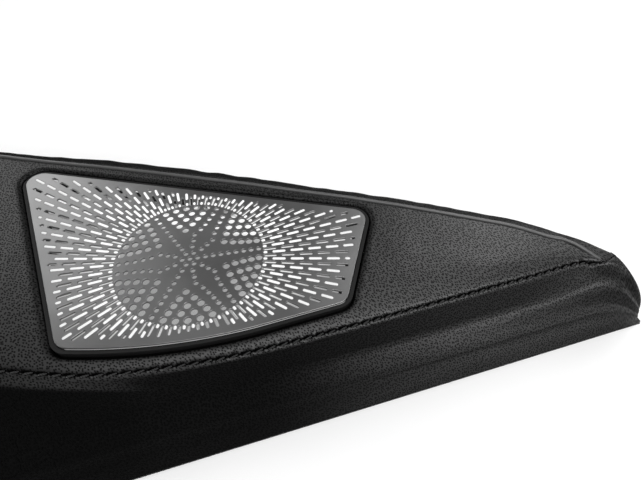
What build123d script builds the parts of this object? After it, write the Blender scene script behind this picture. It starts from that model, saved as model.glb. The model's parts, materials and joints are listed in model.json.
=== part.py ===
"""Door-corner tweeter pod: a leather-wrapped trim panel that carries a lit, perforated
steel grille with a 25 mm dome tweeter behind it. Millimetres, +Z out of the show face."""

import math
import os

from build123d import *

# ---- driving dimensions: grille plate ------------------------------------------------
Z_FACE = 34.0
PLATE_THICK = 0.8
PLATE_TOP_LEFT = (-58.7, 60.7)
PLATE_TOP_RIGHT = (66.2, 4.8)
PLATE_BOTTOM_RIGHT = (46.2, -29.9)
PLATE_BOTTOM_LEFT = (-40.4, -21.7)
PLATE_BOW_START = (-12.0, -28.5)
PLATE_BOW_LOW = (16.0, -30.7)
PLATE_CORNER_R = 5.0
TOP_LEFT_CUT = [(-52.5, 57.9), (-57.2, 54.0)]  # the tangent across the sharp corner's rounding

# ---- driving dimensions: perforation -------------------------------------------------
PATTERN_TURN = -4.86
CIRCLE_R = 25.0
DOT_RING_PITCH = 2.59
DOT_RINGS = 10
SMALL_DOT_R = 0.8
LARGE_DOT_R = 1.15
SPOKES = 3
SLOT_RAYS = 120
RAY_PHASE = 1.5
SLOT_WIDTH = 0.9
SLOT_LENGTH = 4.5
SLOT_PERIOD = 6.2
SLOT_START = 24.8
SLOT_MARGIN = 2.2
SLOT_SHORTEST = 1.3

# ---- driving dimensions: trim panel --------------------------------------------------
X_LEFT = -88.0
X_TIP = 166.0
SKIN_END = 163.0
FOAM_END = 149.0
HOLLOW_END = 126.0
LEATHER_THICK = 1.2
FOAM_THICK = 2.0
CARRIER_THICK = 2.5
LIP_HEIGHT = 1.2
SEAM_GAP = 1.2
PIPING_GAP = 2.3
PIPING_R = 0.9
STITCH_PITCH = 3.8
STITCH_LENGTH = 2.6
STITCH_R = 0.3
PANEL_STATIONS = (-88, -60, -30, 0, 35, 70, 100, 116, 127, 135, 143, 150, 157, 166)

# the panel's feature lines, as (x, y, z) from the rim's underside: the ridge line is the
# foot of the steep wall below the seam, the valley line the outer edge of the ledge
SEAM_LINE = ((-88, -13, 31.0), (-56, -23, 31.5), (-33, -31, 31.5), (-10, -35, 31.5),
             (14, -37, 31.5), (68, -37, 31.5), (112, -36.5, 31.2), (134, -36, 30.6),
             (142, -38.3, 30.0), (150, -41.5, 27.3), (157, -47, 19.5), (166, -50.5, 6.0))
CREST_LINE = ((-88, 80.5, 34.0), (-52, 64.5, 34.2), (-7, 45, 34.2), (58, 14.5, 34.2), (97, -6, 34.0),
              (116, -16, 33.2), (127, -23.5, 32.3), (137, -29.5, 31.2), (145, -34, 30.0),
              (150, -37.5, 28.2), (157, -45, 20.3), (166, -49, 7.0))
EDGE_LINE = ((-88, 88, 30.0), (-60, 76, 30.0), (-14, 58, 30.0), (46, 29, 30.0), (95, 4, 30.0),
             (121, -11, 30.0), (134, -20.5, 29.6), (145, -29.5, 28.0), (150, -34, 25.8),
             (157, -41, 17.5), (166, -46, 5.5))
RIDGE_LINE = ((-88, -39.0, 17.0), (-25, -40.0, 17.0), (38, -41.5, 17.0), (100, -41.8, 17.5),
              (125, -42.2, 19.5), (142, -42.2, 22.3), (150, -45.0, 20.0), (157, -48.6, 14.0), (166, -51.4, 4.4))
VALLEY_LINE = ((-88, -48.0, 12.5), (38, -48.5, 12.5), (125, -48.8, 12.7), (143, -49.3, 12.8),
               (152, -50.3, 11.0), (160, -51.6, 7.0), (166, -52.9, 2.6))
RIM_Y = -54.5
BACK_DRAFT = 3.0

# where the two seams leave their lines near the nose, in plan: the piping bends down to the
# stitched seam, and the seam runs on over the nose to the back
PIPING_TAIL = ((127, -23.5), (132, -25.8), (135, -29), (137.5, -32.8), (141.5, -36.5))
SEAM_TAIL = ((134, -36), (138, -37.3), (142.5, -38), (147, -36.5), (151, -31), (153, -18))

# ---- driving dimensions: speaker housing ---------------------------------------------
HOLE_OFFSET = 1.6
LIP_OUT = 1.4
LIP_IN = 0.2
LIP_TOP = 33.3
LEDGE_IN = 3.5
LEDGE_TOP = 31.3
LEDGE_BOTTOM = 29.0
SKIRT_OUT = 2.0
SKIRT_BOTTOM = 22.0
FLOOR_BOTTOM = 24.0
FLOOR_TOP = 26.6
EAR_THICK = 2.0
EAR_R = 3.6
HOUSING_SCREWS = ((-66.0, 42.0), (-53.0, -13.0), (60.0, -18.0), (10.0, 35.3))
EAR_REACH = 24.0
DOME_OPENING_R = 18.0
GUIDE_TOP = 32.8
GUIDE_FINGER = 1.5
RIB_CLEARANCE = 0.05
SCRIM_THICK = 0.4
LED_RUN = (14.0, 100.0)
LED_BOARD = (0.8, 1.8)
LED_CHIP = (2.8, 0.8, 1.2)
LED_COUNT = 9
LED_INSET = LEDGE_IN + 0.6
LED_LEAD_HOLE_R = 1.7

# ---- driving dimensions: tweeter, radii about the origin -----------------------------
GASKET_THICK = 0.4
FACEPLATE_R = 24.0
FACEPLATE_THICK = 1.8
CHASSIS_THICK = 1.8
DOME_R = 12.5
DOME_HEIGHT = 3.4
SKIN = 0.25
SURROUND_OUT = 15.6
FORMER_IN = 12.3
FORMER_OUT = 12.45
COIL_OUT = 12.75
GAP_OUT = 13.05
POLE_R = 12.05
MAGNET_R = 11.0
YOKE_R = 16.0
VENT_R = 2.5
CAP_R = 17.6
SCREW_CIRCLE_R = 21.0
Z_FRONT = FLOOR_BOTTOM - GASKET_THICK
Z_PLATE = Z_FRONT - FACEPLATE_THICK
Z_CHASSIS = Z_PLATE - CHASSIS_THICK
Z_YOKE_TOP = 19.3
Z_POLE = 16.9
Z_MAGNET = 12.0
Z_YOKE = 9.0
Z_FELT = 7.0
Z_CAP = 5.5
Z_BOARD = 4.3

# ---- driving dimensions: electrics and fixings ---------------------------------------
SOCKET_X = 70.0
SOCKET_Y = -7.0
SOCKET_SIZE = (16.0, 17.0, 10.0)
SOCKET_Z = 20.0
SOCKET_WALL = 1.5
SOCKET_BACK = 4.0
PIN_PITCH = 4.0
PIN_SIZE = 0.8
WIRE_R = 0.6
CAPACITOR_R = 4.0
CAPACITOR_X = (34.0, 48.0)
TERMINAL_Y = 4.0
POST_R = 4.0
POST_BORE_R = 1.6
POST_BORE_DEPTH = 12.0
POSTS = ((-72.0, -28.0), (100.0, -28.0))
CLIPS = ((-70.0, 52.0, -24.0), (32.0, 27.0, -24.0), (118.0, -27.0, -24.0))
BLADE = (7.0, 2.0)
BLADE_BOTTOM = 6.0
CLIP_SHEET = 0.6

# the frame's origin: centre of the panel's footprint, on the rim plane
ORIGIN_X = (X_LEFT + X_TIP) / 2
ORIGIN_Y = (RIM_Y + EDGE_LINE[0][1] + BACK_DRAFT) / 2
FAR = 400.0


# ---- helpers -------------------------------------------------------------------------
def save(shape, node):
    """Move a shape into the part's own frame and write it as one node."""
    export_step(Pos(-ORIGIN_X, -ORIGIN_Y, 0) * shape, f"parts/{node}.step")


def along(line, x):
    """Smooth (y, z) at x on a line of (x, y, z) points, by cubic steps between them."""
    last = len(line) - 1
    i = 0
    while i < last - 1 and x > line[i + 1][0]:
        i += 1
    a, b = line[i], line[i + 1]
    before = line[max(i - 1, 0)]
    after = line[min(i + 2, last)]
    span = b[0] - a[0]
    t = (x - a[0]) / span
    result = []
    for k in (1, 2):
        slope_a = (b[k] - before[k]) / (b[0] - before[0])
        slope_b = (after[k] - a[k]) / (after[0] - a[0])
        result.append((2 * t ** 3 - 3 * t ** 2 + 1) * a[k] + (t ** 3 - 2 * t ** 2 + t) * span * slope_a
                      + (3 * t ** 2 - 2 * t ** 3) * b[k] + (t ** 3 - t ** 2) * span * slope_b)
    return result


def section_points(x):
    """The panel's outer cross-section at x, as (y, z) from the front rim over to the back rim."""
    seam = along(SEAM_LINE, x)
    piping = along(CREST_LINE, x)
    edge = along(EDGE_LINE, x)
    ridge = along(RIDGE_LINE, x)
    valley = along(VALLEY_LINE, x)
    share = 0.25 + 0.25 * max(0, min(1, (x - 100) / 34))
    inner = (seam[0] + share * (piping[0] - seam[0]), seam[1] + 0.8 * (piping[1] - seam[1]))
    return [(RIM_Y, 0.0), valley, ridge, seam, inner, piping, edge, (edge[0] + BACK_DRAFT, 0.0)]


def inset_points(points, inset):
    """The same cross-section moved inwards by the given thickness, with its feet on z = 0."""
    sides = []
    for (y0, z0), (y1, z1) in zip(points, points[1:]):
        length = math.hypot(y1 - y0, z1 - z0)
        normal = ((z1 - z0) / length, -(y1 - y0) / length)
        sides.append((y0 + normal[0] * inset, z0 + normal[1] * inset, y1 - y0, z1 - z0))
    moved = []
    first, final = sides[0], sides[-1]
    moved.append((first[0] - first[2] * first[1] / first[3], 0.0))
    for (ya, za, ua, va), (yb, zb, ub, vb) in zip(sides, sides[1:]):
        t = ((yb - ya) * vb - (zb - za) * ub) / (ua * vb - va * ub)
        moved.append((ya + t * ua, za + t * va))
    moved.append((final[0] - final[2] * final[1] / final[3], 0.0))
    return moved


def panel_body(inset, final):
    """The solid panel form, moved inwards on every side but its open underside, as far as x = final."""
    first = X_LEFT + inset
    stations = [first] + [x for x in PANEL_STATIONS if first + 6 < x < final - 5] + [final]
    sections = []
    for x in stations:
        points = inset_points(section_points(x), inset)
        corners = [(x, y, z) for y, z in points]
        sections.append(Polyline(*corners, close=True))
    return loft([Face(Wire(s.edges())) for s in sections], ruled=True)


def block(x, y, z):
    """A box from three (low, high) pairs."""
    size = (x[1] - x[0], y[1] - y[0], z[1] - z[0])
    return Pos(sum(x) / 2, sum(y) / 2, sum(z) / 2) * Box(*size)


def tube(outer, inner, low, high):
    """A ring about the tweeter's axis between two heights."""
    ring = Pos(0, 0, low) * Cylinder(outer, high - low, align=(Align.CENTER, Align.CENTER, Align.MIN))
    if inner:
        ring -= Pos(0, 0, low - 1) * Cylinder(inner, high - low + 2, align=(Align.CENTER, Align.CENTER, Align.MIN))
    return ring


def rod(x, y, radius, low, high):
    """A vertical cylinder at (x, y)."""
    return Pos(x, y, low) * Cylinder(radius, high - low, align=(Align.CENTER, Align.CENTER, Align.MIN))


def plate_outline(grow):
    """The grille plate's outline as a flat face, grown (or shrunk) by the given distance."""
    bow = ThreePointArc(PLATE_BOTTOM_LEFT, PLATE_BOW_START, PLATE_BOW_LOW)
    rest = Polyline(PLATE_BOW_LOW, PLATE_BOTTOM_RIGHT, PLATE_TOP_RIGHT, PLATE_TOP_LEFT, PLATE_BOTTOM_LEFT)
    face = make_face([bow, rest])
    corners = [v for v in face.vertices() if abs(v.X - PLATE_BOW_LOW[0]) > 1]
    face = fillet(corners, PLATE_CORNER_R)
    return offset(face, amount=grow) if grow else face


def slab(shape, low, high):
    """A flat face or sketch lifted to a height and given thickness."""
    return extrude(Pos(0, 0, low) * shape, amount=high - low, dir=(0, 0, 1))


def outline_ring(outer, inner, low, high):
    """A ring that follows the plate's outline between two offsets and two heights."""
    return slab(plate_outline(outer) - plate_outline(inner), low, high)


def wire_path(points, radius):
    """A round wire along straight runs joined by tangent arcs."""
    radii = []
    for a, b, c in zip(points, points[1:], points[2:]):
        first = Vector(*b) - Vector(*a)
        second = Vector(*c) - Vector(*b)
        turn = math.radians(first.get_angle(second))
        radii.append(0.45 * min(first.length, second.length) / math.tan(turn / 2))
    print("bend radii", [round(r, 1) for r in radii])
    path = FilletPolyline(*points, radius=radii)
    start = Plane(origin=points[0], z_dir=Vector(*points[1]) - Vector(*points[0]))
    return sweep(start * Circle(radius), path=path)


# ---- trim panel ----------------------------------------------------------------------
def make_curtain(line, width, tail):
    """A thin upright wall along a feature line and its tail, used to split the cover into its panels."""
    points = [(x, along(line, x)[0]) for x in range(int(X_LEFT), int(tail[0][0]) - 3, 8)]
    points = [(X_LEFT - 4, points[0][1])] + points + list(tail)
    half = width / 2
    left, right = [], []
    for before, here, after in zip(points[:1] + points, points, points[1:] + points[-1:]):
        length = math.hypot(after[0] - before[0], after[1] - before[1])
        side_x = -(after[1] - before[1]) / length * half
        side_y = (after[0] - before[0]) / length * half
        left.append((here[0] + side_x, here[1] + side_y))
        right.append((here[0] - side_x, here[1] - side_y))
    return slab(make_face(Polyline(*left, *reversed(right), close=True)), -1, 60)


def make_cover():
    """The leather cover in its three sewn panels: upper field, lower fall and back border."""
    skin = panel_body(0, X_TIP) - panel_body(LEATHER_THICK, SKIN_END)
    skin -= block((-FAR, FAR), (-FAR, FAR), (-FAR, LIP_HEIGHT))
    skin -= slab(plate_outline(HOLE_OFFSET), 20, 60)
    skin -= make_curtain(CREST_LINE, PIPING_GAP, PIPING_TAIL)
    skin -= make_curtain(SEAM_LINE, SEAM_GAP, SEAM_TAIL)
    return skin


def split_cover(cover):
    """Sort the cover's solids into upper, lower and border."""
    solids = sorted(cover.solids(), key=lambda s: s.volume, reverse=True)[:3]
    border = max(solids, key=lambda s: s.center().Y)
    lower = min(solids, key=lambda s: s.center().Y)
    upper = [s for s in solids if s is not border and s is not lower][0]
    return upper, lower, border


def make_foam():
    pad = panel_body(LEATHER_THICK, SKIN_END) - panel_body(LEATHER_THICK + FOAM_THICK, FOAM_END)
    pad -= block((-FAR, FAR), (-FAR, FAR), (-FAR, LIP_HEIGHT))
    return pad - slab(plate_outline(HOLE_OFFSET), 20, 60)


def make_carrier():
    """The moulded carrier: shell, bottom lip, screw bosses, mounting posts and clip blades."""
    shell = panel_body(LEATHER_THICK + FOAM_THICK, FOAM_END)
    hollow = panel_body(LEATHER_THICK + FOAM_THICK + CARRIER_THICK, HOLLOW_END)
    hollow += block((HOLLOW_END + CARRIER_THICK, FOAM_END - 4), (-46, -37), (-1, 11))
    lip = panel_body(0, X_TIP) & block((-FAR, FAR), (-FAR, FAR), (-1, LIP_HEIGHT))
    fixings = []
    for x, y in HOUSING_SCREWS:
        fixings.append(rod(x, y, EAR_R, FLOOR_BOTTOM, 40))
    for x, y in POSTS:
        fixings.append(rod(x, y, POST_R, 0, 40))
    for x, y, turn in CLIPS:
        fixings.append(Pos(x, y, 0) * Rot(0, 0, turn) * block((-3.5, 3.5), (-1, 1), (BLADE_BOTTOM, 40)))
    pad_y = (SOCKET_Y - 6, SOCKET_Y + 6)
    fixings.append(block((SOCKET_X, SOCKET_X + SOCKET_SIZE[0]), pad_y, (SOCKET_Z + SOCKET_SIZE[2] / 2, 40)))
    fixings = [piece & shell for piece in fixings]
    body = (shell + lip) - hollow
    body += fixings
    body -= slab(plate_outline(HOLE_OFFSET), 20, 60)
    for x, y in HOUSING_SCREWS:
        body -= rod(x, y, 1.45, FLOOR_BOTTOM - 1, 28)
    for x, y in POSTS:
        body -= rod(x, y, POST_BORE_R, -1, POST_BORE_DEPTH)
    return body


def make_piping():
    """The corded piping between the field and the border."""
    xs = (-85, -62, -40, -16, 10, 36, 60, 80, 98, 112, 123)
    points = []
    for x in xs:
        y, z = along(CREST_LINE, x)
        points.append((x, y, z - 0.1))
    return wire_path(points, PIPING_R)


def make_stitches():
    """Short threads lying in the seam's groove, one per stitch."""
    threads = []
    x = X_LEFT + 4
    while x < SEAM_TAIL[0][0] - STITCH_LENGTH:
        y0, z0 = along(SEAM_LINE, x)
        y1, z1 = along(SEAM_LINE, x + STITCH_LENGTH)
        turn = math.degrees(math.atan2(y1 - y0, STITCH_LENGTH))
        lie = Pos(x + STITCH_LENGTH / 2, (y0 + y1) / 2, (z0 + z1) / 2 - 0.6) * Rot(0, 0, turn) * Rot(0, 90, 0)
        threads.append(lie * Cylinder(STITCH_R, STITCH_LENGTH))
        x += STITCH_PITCH
    return Compound(threads)


# ---- grille, light guide and housing -------------------------------------------------
def dot_centres():
    """(x, y, radius) of every round hole: a triangle of dots between three forked spokes."""
    dots = [(0.0, 0.0, SMALL_DOT_R)]
    for ring in range(1, DOT_RINGS):
        per_sector = {1: 2}.get(ring, max(3, 2 * ring - 5))
        count = SPOKES * per_sector
        fork = ring - 3
        for i in range(count):
            near = min(i % per_sector, per_sector - i % per_sector)
            between = ring > 4 and 0 < near < fork
            angle = math.radians(PATTERN_TURN + 360 * i / count)
            radius = LARGE_DOT_R if between else SMALL_DOT_R
            dots.append((ring * DOT_RING_PITCH * math.cos(angle), ring * DOT_RING_PITCH * math.sin(angle), radius))
    return dots


def reach(angle, inset):
    """Distance from the origin along an angle to the plate's edge, less the inset."""
    c, s = math.cos(angle), math.sin(angle)
    corners = [PLATE_BOTTOM_LEFT, PLATE_BOW_START, PLATE_BOW_LOW, PLATE_BOTTOM_RIGHT, PLATE_TOP_RIGHT]
    corners += TOP_LEFT_CUT
    nearest = FAR
    for (ax, ay), (bx, by) in zip(corners, corners[1:] + corners[:1]):
        length = math.hypot(bx - ax, by - ay)
        nx, ny = (by - ay) / length, -(bx - ax) / length
        towards = nx * c + ny * s
        if towards > 0:
            nearest = min(nearest, (nx * ax + ny * ay - inset) / towards)
    return nearest


def slot_runs(ray):
    """(angle, start, end) of each slot on one ray; odd and even rays are staggered."""
    angle = math.radians(PATTERN_TURN + RAY_PHASE + 360 * ray / SLOT_RAYS)
    limit = reach(angle, SLOT_MARGIN)
    stagger = SLOT_PERIOD / 2 if ray % 2 == 0 else 0
    start = SLOT_START + stagger - SLOT_PERIOD
    runs = []
    while start < limit:
        low = max(start, SLOT_START)
        high = min(start + SLOT_LENGTH, limit)
        if high - low > SLOT_SHORTEST:
            runs.append((angle, low, high))
        start += SLOT_PERIOD
    return runs


def make_grille():
    """The perforated steel plate: round dots in the middle, staggered radial slots around."""
    holes = [Pos(x, y) * Circle(r) for x, y, r in dot_centres()]
    for ray in range(SLOT_RAYS):
        for angle, low, high in slot_runs(ray):
            place = Rot(0, 0, math.degrees(angle)) * Pos((low + high) / 2, 0)
            holes.append(place * SlotOverall(high - low, SLOT_WIDTH))
    return slab(plate_outline(0) - holes, Z_FACE - PLATE_THICK, Z_FACE)


def make_light_guide():
    """The opal guide: a rim under the plate's margin, one finger under every other ray, and a
    rib on the finger for each of its slots, standing up flush with the plate's face."""
    bars = []
    ribs = []
    for ray in range(0, SLOT_RAYS, 2):
        angle = PATTERN_TURN + RAY_PHASE + 360 * ray / SLOT_RAYS
        bars.append(Rot(0, 0, angle) * Pos(55.3, 0) * Rectangle(60, GUIDE_FINGER))
        for _, low, high in slot_runs(ray):
            shape = SlotOverall(high - low - 2 * RIB_CLEARANCE, SLOT_WIDTH - 2 * RIB_CLEARANCE)
            ribs.append(Rot(0, 0, angle) * Pos((low + high) / 2, 0) * shape)
    fingers = plate_outline(-2.0) & Sketch(children=bars)
    rim = plate_outline(-0.5) - plate_outline(-2.1)
    return slab(rim + fingers, LEDGE_TOP, GUIDE_TOP) + slab(Sketch(children=ribs), GUIDE_TOP, Z_FACE)


def make_housing():
    """The black housing: bezel lip, ledge, skirt, floor and four screw ears."""
    body = outline_ring(LIP_OUT, LIP_IN, LEDGE_BOTTOM, LIP_TOP)
    body += outline_ring(LIP_OUT, -LEDGE_IN, LEDGE_BOTTOM, LEDGE_TOP)
    body += outline_ring(-SKIRT_OUT, -LEDGE_IN, SKIRT_BOTTOM, LEDGE_TOP)
    body += slab(plate_outline(-SKIRT_OUT), FLOOR_BOTTOM, FLOOR_TOP)
    inside = slab(plate_outline(-LEDGE_IN + 0.5), SKIRT_BOTTOM - 1, FLOOR_BOTTOM)
    for x, y in HOUSING_SCREWS:
        length = math.hypot(x, y)
        turn = math.degrees(math.atan2(y, x))
        arm = Rot(0, 0, turn) * block((length - EAR_REACH, length), (-EAR_R, EAR_R), (SKIRT_BOTTOM, SKIRT_BOTTOM + EAR_THICK))
        body += (arm + rod(x, y, EAR_R, SKIRT_BOTTOM, SKIRT_BOTTOM + EAR_THICK)) - inside
    for x, y in HOUSING_SCREWS:
        body -= rod(x, y, 1.6, SKIRT_BOTTOM - 1, SKIRT_BOTTOM + EAR_THICK + 1)
    body -= rod(0, 0, DOME_OPENING_R, 0, 40)
    for x, y in screw_places():
        body -= rod(x, y, 1.25, 0, FLOOR_TOP - 0.4)
    hole_x, hole_y = led_place(LED_RUN[1] - 1.5)
    body -= rod(hole_x, hole_y, LED_LEAD_HOLE_R, 0, FLOOR_TOP + 1)
    return body


def led_place(run):
    """A point of the LED strip's line, measured along the plate's top edge."""
    dx = PLATE_TOP_RIGHT[0] - PLATE_TOP_LEFT[0]
    dy = PLATE_TOP_RIGHT[1] - PLATE_TOP_LEFT[1]
    length = math.hypot(dx, dy)
    x = PLATE_TOP_LEFT[0] + (dx * run + dy * LED_INSET) / length
    y = PLATE_TOP_LEFT[1] + (dy * run - dx * LED_INSET) / length
    return x, y


def led_turn():
    """The strip's angle about Z."""
    return math.degrees(math.atan2(PLATE_TOP_RIGHT[1] - PLATE_TOP_LEFT[1], PLATE_TOP_RIGHT[0] - PLATE_TOP_LEFT[0]))


def make_led_board():
    x, y = led_place(sum(LED_RUN) / 2)
    z = FLOOR_TOP + SCRIM_THICK + 0.05
    half = (LED_RUN[1] - LED_RUN[0]) / 2
    return Pos(x, y, 0) * Rot(0, 0, led_turn()) * block((-half, half), (-LED_BOARD[0] / 2, LED_BOARD[0] / 2), (z, z + LED_BOARD[1]))


def make_led_chips():
    chips = []
    for i in range(LED_COUNT):
        run = LED_RUN[0] + 5 + i * (LED_RUN[1] - LED_RUN[0] - 10) / (LED_COUNT - 1)
        x, y = led_place(run)
        z = FLOOR_TOP + SCRIM_THICK + 0.3
        width, depth, height = LED_CHIP
        front = -LED_BOARD[0] / 2
        chip = block((-width / 2, width / 2), (front - depth, front), (z, z + height))
        chips.append(Pos(x, y, 0) * Rot(0, 0, led_turn()) * chip)
    return Compound(chips)


def make_scrim():
    hole_x, hole_y = led_place(LED_RUN[1] - 1.5)
    cloth = slab(plate_outline(-LEDGE_IN - 0.1), FLOOR_TOP, FLOOR_TOP + SCRIM_THICK)
    return cloth - rod(hole_x, hole_y, LED_LEAD_HOLE_R, 0, 40)


def make_tape():
    return outline_ring(-0.6, -2.0, GUIDE_TOP, Z_FACE - PLATE_THICK)


# ---- tweeter -------------------------------------------------------------------------
def screw_places():
    """Centres of the three screws that hold the tweeter."""
    angles = [math.radians(90 + 120 * i) for i in range(3)]
    return [(SCREW_CIRCLE_R * math.cos(a), SCREW_CIRCLE_R * math.sin(a)) for a in angles]


def drill(body, radius):
    for x, y in screw_places():
        body -= rod(x, y, radius, 0, 40)
    return body


def turned(points):
    """A solid of revolution about the tweeter's axis, from (radius, z) points."""
    return revolve(Plane.XZ * make_face(Polyline(*points, close=True)), Axis.Z)


def make_faceplate():
    profile = [(14.8, Z_PLATE + SKIN + 0.1), (17.0, Z_FRONT), (FACEPLATE_R, Z_FRONT), (FACEPLATE_R, Z_PLATE),
               (SURROUND_OUT + 0.2, Z_PLATE), (SURROUND_OUT + 0.2, Z_PLATE + SKIN + 0.1)]
    return drill(turned(profile), 1.5)


def make_chassis():
    profile = [(13.3, Z_YOKE_TOP), (CAP_R, Z_YOKE_TOP), (CAP_R, Z_CHASSIS), (FACEPLATE_R, Z_CHASSIS),
               (FACEPLATE_R, Z_PLATE), (13.3, Z_PLATE)]
    return drill(turned(profile), 1.5)


def make_gasket():
    return drill(tube(23.6, DOME_OPENING_R + 0.4, Z_FRONT, FLOOR_BOTTOM), 1.5)


def dome_shell(radius, height, base):
    """A spherical cap, solid, with the given base radius and height."""
    ball = (radius ** 2 + height ** 2) / (2 * height)
    return (Pos(0, 0, base + height - ball) * Sphere(ball)) & tube(radius, 0, base, base + height + 1)


def make_dome():
    base = Z_PLATE + 0.2
    cap = dome_shell(DOME_R, DOME_HEIGHT, base)
    return cap - dome_shell(DOME_R - SKIN, DOME_HEIGHT - SKIN, base - 0.001)


def make_surround():
    """The half-roll suspension and its flat rim."""
    base = Z_PLATE + 0.2
    roll_r = (14.6 - DOME_R) / 2 + 0.02
    centre = DOME_R + roll_r
    roll = Pos(centre, base) * (Circle(roll_r) - Circle(roll_r - SKIN))
    roll &= Pos(centre, base + 2) * Rectangle(6, 4)
    rim = Pos((14.6 + SURROUND_OUT) / 2 - 0.05, Z_PLATE + SKIN / 2) * Rectangle(SURROUND_OUT - 14.3, SKIN)
    return revolve(Plane.XZ * (roll + rim), Axis.Z)


def make_former():
    return tube(FORMER_OUT, FORMER_IN, Z_POLE - 0.5, Z_PLATE + 0.2)


def make_coil():
    return tube(COIL_OUT, FORMER_OUT, 17.0, 19.6)


def make_yoke():
    cup = tube(YOKE_R, 0, Z_YOKE, Z_YOKE_TOP) - tube(GAP_OUT, 0, Z_MAGNET, 40)
    return cup - tube(VENT_R, 0, 0, 40)


def make_rear_cap():
    cap = tube(CAP_R, 0, Z_CAP, Z_YOKE_TOP) - tube(YOKE_R + 0.2, 0, Z_FELT, 40)
    return cap


def make_terminal_board():
    board = block((-9, 9), (-7, 7), (Z_BOARD, Z_CAP))
    for side in (-1, 1):
        board -= rod(6, side * TERMINAL_Y, 0.6, 0, 40)
    return board


def make_terminal_tabs():
    tabs = []
    for side in (-1, 1):
        blade = block((4, 15), (side * TERMINAL_Y - 1.4, side * TERMINAL_Y + 1.4), (Z_BOARD - 0.5, Z_BOARD))
        tabs.append(blade)
    return Compound(tabs)


def pan_screw(x, y, low, head_r, head_h, shank_r, length):
    """A pan-head screw pointing up, with a cross recess in its head."""
    screw = rod(x, y, head_r, low - head_h, low) + rod(x, y, shank_r, low, low + length)
    for turn in (0, 90):
        screw -= Pos(x, y, low - head_h) * Rot(0, 0, turn) * Box(head_r * 1.1, 0.5, 1.2)
    return screw


def make_tweeter_screws():
    return Compound([pan_screw(x, y, Z_CHASSIS, 2.2, 1.5, 1.2, 6.0) for x, y in screw_places()])


def make_housing_screws():
    return Compound([pan_screw(x, y, SKIRT_BOTTOM, 2.8, 1.8, 1.4, 5.5) for x, y in HOUSING_SCREWS])


# ---- electrics -----------------------------------------------------------------------
def pin_y(i):
    return SOCKET_Y + PIN_PITCH * (i - 1.5)


def make_socket():
    """The four-way socket, its mouth facing +X, under a pad of the carrier."""
    length, width, height = SOCKET_SIZE
    low, high = SOCKET_Z - height / 2, SOCKET_Z + height / 2
    body = block((SOCKET_X, SOCKET_X + length), (SOCKET_Y - width / 2, SOCKET_Y + width / 2), (low, high))
    cavity_y = (SOCKET_Y - width / 2 + SOCKET_WALL, SOCKET_Y + width / 2 - SOCKET_WALL)
    body -= block((SOCKET_X + SOCKET_BACK, FAR), cavity_y, (low + SOCKET_WALL, high - SOCKET_WALL))
    for i in range(4):
        body -= Pos(SOCKET_X, pin_y(i), SOCKET_Z) * Box(20, PIN_SIZE + 0.1, PIN_SIZE + 0.1)
    return body


def make_pins():
    pins = []
    for i in range(4):
        y = (pin_y(i) - PIN_SIZE / 2, pin_y(i) + PIN_SIZE / 2)
        z = (SOCKET_Z - PIN_SIZE / 2, SOCKET_Z + PIN_SIZE / 2)
        pins.append(block((SOCKET_X - 2, SOCKET_X + SOCKET_BACK + 7), y, z))
    return Compound(pins)


def make_capacitor():
    low, high = CAPACITOR_X
    y = pin_y(0)
    body = Pos((low + high) / 2, y, SOCKET_Z - 0.4) * Rot(0, 90, 0) * Cylinder(CAPACITOR_R, high - low)
    body = fillet(body.edges().filter_by(GeomType.CIRCLE), 0.6)
    stub = Pos((low + high) / 2, y, SOCKET_Z - 0.4) * Rot(0, 90, 0) * Cylinder(0.4, high - low + 4)
    return body + stub


def make_capacitor_tie():
    middle = (CAPACITOR_X[0] + CAPACITOR_X[1]) / 2
    ring = Cylinder(CAPACITOR_R + 0.9, 3) - Cylinder(CAPACITOR_R + 0.02, 4)
    ring = Pos(middle, pin_y(0), SOCKET_Z - 0.4) * Rot(0, 90, 0) * ring
    return ring & block((-FAR, FAR), (-FAR, FAR), (0, FLOOR_BOTTOM))


def make_input_lead():
    """Socket to capacitor."""
    z = SOCKET_Z
    y = pin_y(0)
    points = [(SOCKET_X - 2, y, z), (64.0, y, z), (57.5, y, z - 0.4),
              (CAPACITOR_X[1] + 2, y, z - 0.4)]
    return wire_path(points, WIRE_R)


def make_positive_lead():
    """Capacitor to the tweeter's first terminal."""
    y = pin_y(0)
    points = [(CAPACITOR_X[0] - 2, y, SOCKET_Z - 0.4), (26.0, y, SOCKET_Z - 0.4), (24.5, y + 3.5, 11.5),
              (23.0, -TERMINAL_Y, Z_BOARD - 0.25), (15.0, -TERMINAL_Y, Z_BOARD - 0.25)]
    return wire_path(points, WIRE_R)


def make_negative_lead():
    """Socket to the tweeter's second terminal."""
    points = [(SOCKET_X - 2, pin_y(1), SOCKET_Z), (62.0, pin_y(1), SOCKET_Z), (50.0, -5.0, 13.5),
              (37.0, 1.0, 8.0), (24.0, TERMINAL_Y, Z_BOARD - 0.25), (15.0, TERMINAL_Y, Z_BOARD - 0.25)]
    return wire_path(points, WIRE_R)


def make_led_leads():
    """Socket to the LED strip, up through the housing's floor."""
    x, y = led_place(LED_RUN[1] - 1.5)
    top = FLOOR_TOP + SCRIM_THICK
    leads = []
    for i, side in ((2, -0.8), (3, 0.8)):
        points = [(SOCKET_X - 2, pin_y(i), SOCKET_Z), (62.5, pin_y(i), SOCKET_Z),
                  (52.5 + side, y - 5, SOCKET_Z - 2), (x + side, y, SOCKET_Z - 1.5), (x + side, y, top)]
        leads.append(wire_path(points, 0.5))
    return Compound(leads)


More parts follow.
